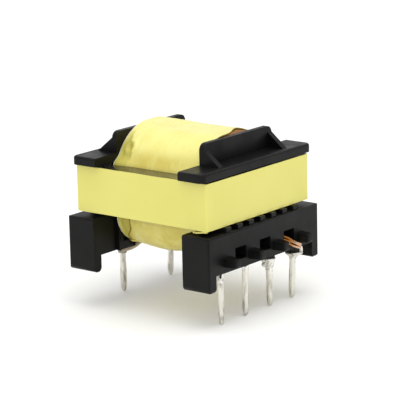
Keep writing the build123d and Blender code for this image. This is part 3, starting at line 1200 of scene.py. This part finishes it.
@dataclass
class Leads:
    """The enamelled leads from the coil to the pins.

    Attributes:
        strand_radius: The radius of one strand of the lead that crosses the near rail's face.
        spacing: How far apart the strands lie.
        strands: For each strand its row, how far it lifts off the rail and how far it strays.
        upper: How far the strands' upper end lies inside their solid's box, along X and Z.
        lower: The same of their lower end.
        route: The strands' points from the window on: the share of the way to the lower end, the way
            off it along X, Y and Z, how far apart the strands lie there and how much each strays.
        far_radius: The radius of each wire of the lead that sags to the second far pin.
        far_apart: How far each of the two lies above or below their route.
        far_route: The points that this lead follows.
    """

    strand_radius: float = 0.145
    spacing: float = 0.27
    strands: tuple[tuple[float, float, float], ...] = (
        (-1.0, 0.0, 0.1), (0.0, 0.06, -0.12), (1.0, -0.02, 0.05))
    upper: tuple[float, float] = (0.05, 0.35)
    lower: tuple[float, float] = (1.15, 0.95)
    route: tuple[tuple[float, tuple[float, float, float], float, float], ...] = (
        (0.0, (0.0, 1.2, 0.1), 1.0, 0.0), (0.0, (0.1, 0.05, 0.0), 1.0, 1.0),
        (0.4, (0.0, 0.0, 0.0), 1.0, -1.0), (1.0, (-0.2, 0.0, 0.1), 0.9, 0.0),
        (1.0, (0.05, 0.5, 0.0), 0.8, 0.0), (1.0, (0.0, 1.6, -0.05), 0.8, 0.0))
    far_radius: float = 0.17
    far_apart: float = 0.13
    far_route: tuple[tuple[float, float, float], ...] = (
        (-4.0, 5.4, 8.0), (-3.8, 6.1, 7.25), (-3.4, 7.5, 6.45), (-3.1, 8.8, 5.95), (-2.9, 9.7, 5.6))

    def build(self) -> None:
        """Dresses the leads that run under the rails and builds those that show."""
        for site in ("near_1", "near_2", "near_3", "far_4"):
            dressed(f"lead_{site}", Finishes.COPPER)
        for number, (shift, *nodes) in enumerate(((self.far_apart, "lead_far_2"), (-self.far_apart,)), 1):
            points = [Vector(point) + Vector((0, 0, shift)) for point in self.far_route]
            wire(f"lead_far_2_strand_{number}", points, self.far_radius, Finishes.SLEEVED, *nodes)
        self.near()

    def near(self) -> None:
        """Builds the strands that cross the near rail's face to the last pin."""
        low, high = millimetres("lead_near_4")
        front = low.y + self.strand_radius
        start = Vector((low.x + self.upper[0], front, high.z - self.upper[1]))
        end = Vector((high.x - self.lower[0], front, low.z + self.lower[1]))
        run = (end - start).normalized()
        across = Vector((-run.z, 0, run.x))
        for number, (row, lift, stray) in enumerate(self.strands, 1):
            side = across * row * self.spacing
            points = [Vector((start.x, high.y, start.z)) + side]
            for share, shift, close, bow in self.route:
                points.append(start.lerp(end, share) + Vector(shift) + side * close
                              + across * stray * bow - Vector((0, lift * abs(bow), 0)))
            nodes = ("lead_near_4",) if number == 1 else ()
            wire(f"lead_near_4_strand_{number}", points, self.strand_radius, Finishes.STRAND, *nodes)


@dataclass(frozen=True)
class Lamp:
    """A square soft box that faces the part.

    Attributes:
        name: What it is called.
        place: Where it hangs, in metres.
        size: Its width in metres.
        power: Its power in watts.
        aim: What it faces, in metres.
    """

    name: str
    place: tuple[float, float, float]
    size: float
    power: float
    aim: tuple[float, float, float] = (0.0, 0.0, 0.012)

    def build(self) -> None:
        """Hangs it."""
        data = bpy.data.lights.new(self.name, "AREA")
        data.shape = "SQUARE"
        data.size = self.size
        data.energy = self.power
        lamp = bpy.data.objects.new(self.name, data)
        lamp.location = self.place
        lamp.rotation_mode = "QUATERNION"
        lamp.rotation_quaternion = (Vector(self.aim) - Vector(self.place)).to_track_quat("-Z", "Y")
        bpy.context.scene.collection.objects.link(lamp)


@dataclass
class Studio:
    """A pale table, a white sweep behind it, a soft box overhead and the camera.

    Attributes:
        azimuth: Where the camera stands, in degrees from -Y towards -X.
        elevation: How far above the table it stands, in degrees.
        distance: How far it stands from the middle of the tape band.
        roll: How far it is turned about its own axis, in degrees.
        focal: Its focal length in pixels of the photograph.
        principal: The pixel that the band's middle falls on.
        sensor_mm: The width of the camera's sensor.
        sight: The nearest and the farthest that the camera sees, in metres.
        table_half: Half the table's width in metres.
        table_below: How far the table lies below the pins' tips.
        table_colour: The table's colour.
        table_gloss: The table's roughness and how strongly it mirrors.
        table_lift: How much paler the camera sees it.
        sweep: How bright the white sweep is as a light.
        boxes: The soft boxes: a large one overhead and a weak one by the camera.
    """

    azimuth: float = -51.18
    elevation: float = 12.96
    distance: float = 283.7
    roll: float = -1.343
    focal: float = 2235.0
    principal: tuple[float, float] = (193.06, 181.75)
    sensor_mm: float = 36.0
    sight: tuple[float, float] = (0.01, 10.0)
    table_half: float = 2.0
    table_below: float = 0.01
    table_colour: str = "#FCFCFB"
    table_gloss: tuple[float, float] = (0.6, 0.2)
    table_lift: float = 0.06
    sweep: float = 0.8
    boxes: tuple[Lamp, ...] = (
        Lamp("overhead", (-0.05, -0.05, 0.55), 0.5, 1.4), Lamp("front", (-0.42, -0.36, 0.3), 0.35, 0.3))

    def build(self) -> None:
        """Makes everything that isn't the part."""
        bpy.context.scene.view_settings.view_transform = "Standard"
        self.camera()
        self.table()
        for lamp in self.boxes:
            lamp.build()
        self.world()

    def camera(self) -> None:
        """Places the camera as the photograph's stood."""
        azimuth, elevation, roll = (math.radians(a) for a in (self.azimuth, self.elevation, self.roll))
        back = Vector((math.sin(azimuth) * math.cos(elevation),
                       -math.cos(azimuth) * math.cos(elevation), math.sin(elevation)))
        level = Vector((0, 0, 1)).cross(back).normalized()
        upward = back.cross(level)
        right = level * math.cos(roll) + upward * math.sin(roll)
        up = upward * math.cos(roll) - level * math.sin(roll)
        low, high = millimetres("core_tape")
        data = bpy.data.cameras.new("Camera")
        data.sensor_width = self.sensor_mm
        data.lens = self.focal / PHOTO_PIXELS * data.sensor_width
        half = PHOTO_PIXELS / 2
        data.shift_x = (half - self.principal[0]) / PHOTO_PIXELS
        data.shift_y = (self.principal[1] - half) / PHOTO_PIXELS
        data.clip_start, data.clip_end = self.sight
        camera = bpy.data.objects.new("Camera", data)
        place = ((low + high) / 2 + back * self.distance) * MM
        camera.matrix_world = Matrix.Translation(place) @ Matrix((right, up, back)).transposed().to_4x4()
        bpy.context.scene.collection.objects.link(camera)
        bpy.context.scene.camera = camera

    def table(self) -> None:
        """Makes the pale table that the pins stand on."""
        bm = bmesh.new()
        bmesh.ops.create_grid(bm, x_segments=1, y_segments=1, size=self.table_half,
                              matrix=Matrix.Translation((0, 0, -self.table_below * MM)))
        mesh = bpy.data.meshes.new("table")
        bm.to_mesh(mesh)
        bm.free()
        material = bpy.data.materials.new("Tabletop pale")
        material.use_nodes = True
        tree = material.node_tree
        shader = tree.nodes["Principled BSDF"]
        shader.inputs["Base Color"].default_value = linear(self.table_colour)
        shader.inputs["Roughness"].default_value = self.table_gloss[0]
        shader.inputs["Specular IOR Level"].default_value = self.table_gloss[1]
        shader.inputs["Emission Color"].default_value = (1.0, 1.0, 1.0, 1.0)
        seen = add_node(tree, "ShaderNodeLightPath").outputs["Is Camera Ray"]
        lift = add_node(tree, "ShaderNodeMath", {"operation": "MULTIPLY"}, {0: seen, 1: self.table_lift})
        tree.links.new(lift.outputs["Value"], shader.inputs["Emission Strength"])
        mesh.materials.append(material)
        floor = bpy.data.objects.new("table", mesh)
        bpy.context.scene.collection.objects.link(floor)

    def world(self) -> None:
        """Makes the white sweep all round, which the camera sees as plain white."""
        world = bpy.data.worlds.new("Sweep")
        bpy.context.scene.world = world
        world.use_nodes = True
        tree = world.node_tree
        tree.nodes.clear()
        seen = add_node(tree, "ShaderNodeLightPath").outputs["Is Camera Ray"]
        strength = add_node(tree, "ShaderNodeMath", {"operation": "MAXIMUM"}, {0: self.sweep, 1: seen})
        light = add_node(tree, "ShaderNodeBackground", inputs={
            "Color": (1.0, 1.0, 1.0, 1.0), "Strength": strength.outputs["Value"]})
        add_node(tree, "ShaderNodeOutputWorld", inputs={"Surface": light.outputs["Background"]})


def main() -> None:
    """Builds and dresses every piece of the transformer, then the studio round it."""
    CoilFormer().build()
    CorePair().build()
    CoreTape().build()
    tape = CoilTape()
    tape.build()
    Windings(tape).build()
    for pin in (
            Pin("near_1", 0.14, ((1.5, 0.4), (0.9, 0.45), (0.4, 0.5), (0.0, 0.52)), 0.05, 1.0),
            Pin("near_2", 0.12, ((1.2, 0.4), (0.8, 0.44), (0.3, 0.5), (0.0, 0.55)), -0.1, 2.0),
            Pin("near_3", 0.12, ((2.7, 0.4), (2.2, 0.45), (1.6, 0.56), (1.0, 0.74), (0.6, 0.86),
                                 (0.52, 0.8), (0.5, 0.3)), 0.0, 3.0, (-0.08, 0.0)),
            Pin("near_4", 0.08, ((1.95, 0.4), (1.6, 0.5), (1.35, 0.72), (1.16, 1.04), (0.98, 1.16),
                                 (0.84, 1.08), (1.0, 0.4)), -0.3, 4.0, (0.12, -0.1)),
            # The second far pin's solder takes the grey painted shade.
            Pin("far_2", 0.03, ((1.72, 0.4), (1.66, 0.58), (1.4, 0.62), (1.24, 0.44), (0.6, 0.5),
                                (0.0, 0.6)), 0.05, 5.0, solder=Finishes.SOLDER_SHADED),
            Pin("far_4", 0.06, ((1.15, 0.4), (0.7, 0.5), (0.2, 0.7), (0.0, 0.76)), -0.3, 6.0)):
        pin.build()
    for dark_collar in (
            DarkCollar("near_1", 0.25, 0.54, 1.0, (0.85, 24.0)),
            DarkCollar("near_2", 0.3, 0.6, 2.0, (0.2, 40.0)),
            DarkCollar("near_3", 0.55, 0.76, 3.0),
            DarkCollar("near_4", 0.9, 0.86, 4.0)):
        dark_collar.build()
    Leads().build()
    for bead in (
            Bead("solder_hook_near_4", (8.15, -10.75, 6.3), (0.3, 0.3, 0.62), Finishes.SOLDER, 7.0),
            Bead("coil_tape_end", (-4.8, 5.85, 8.0), (0.7, 0.7, 0.22), Finishes.COIL_TAPE, 11.0),
            Bead("solder_drop_near_3_a", (1.74, -9.62, 6.1), (0.28, 0.28, 0.28), Finishes.SOLDER, 8.0),
            Bead("solder_drop_near_3_b", (1.76, -9.64, 5.5), (0.26, 0.26, 0.3), Finishes.SOLDER, 9.0)):
        bead.build()
    Studio().build()


if __name__ == "__main__":
    logging.basicConfig(level=logging.INFO, format="%(name)s: %(message)s")
    main()
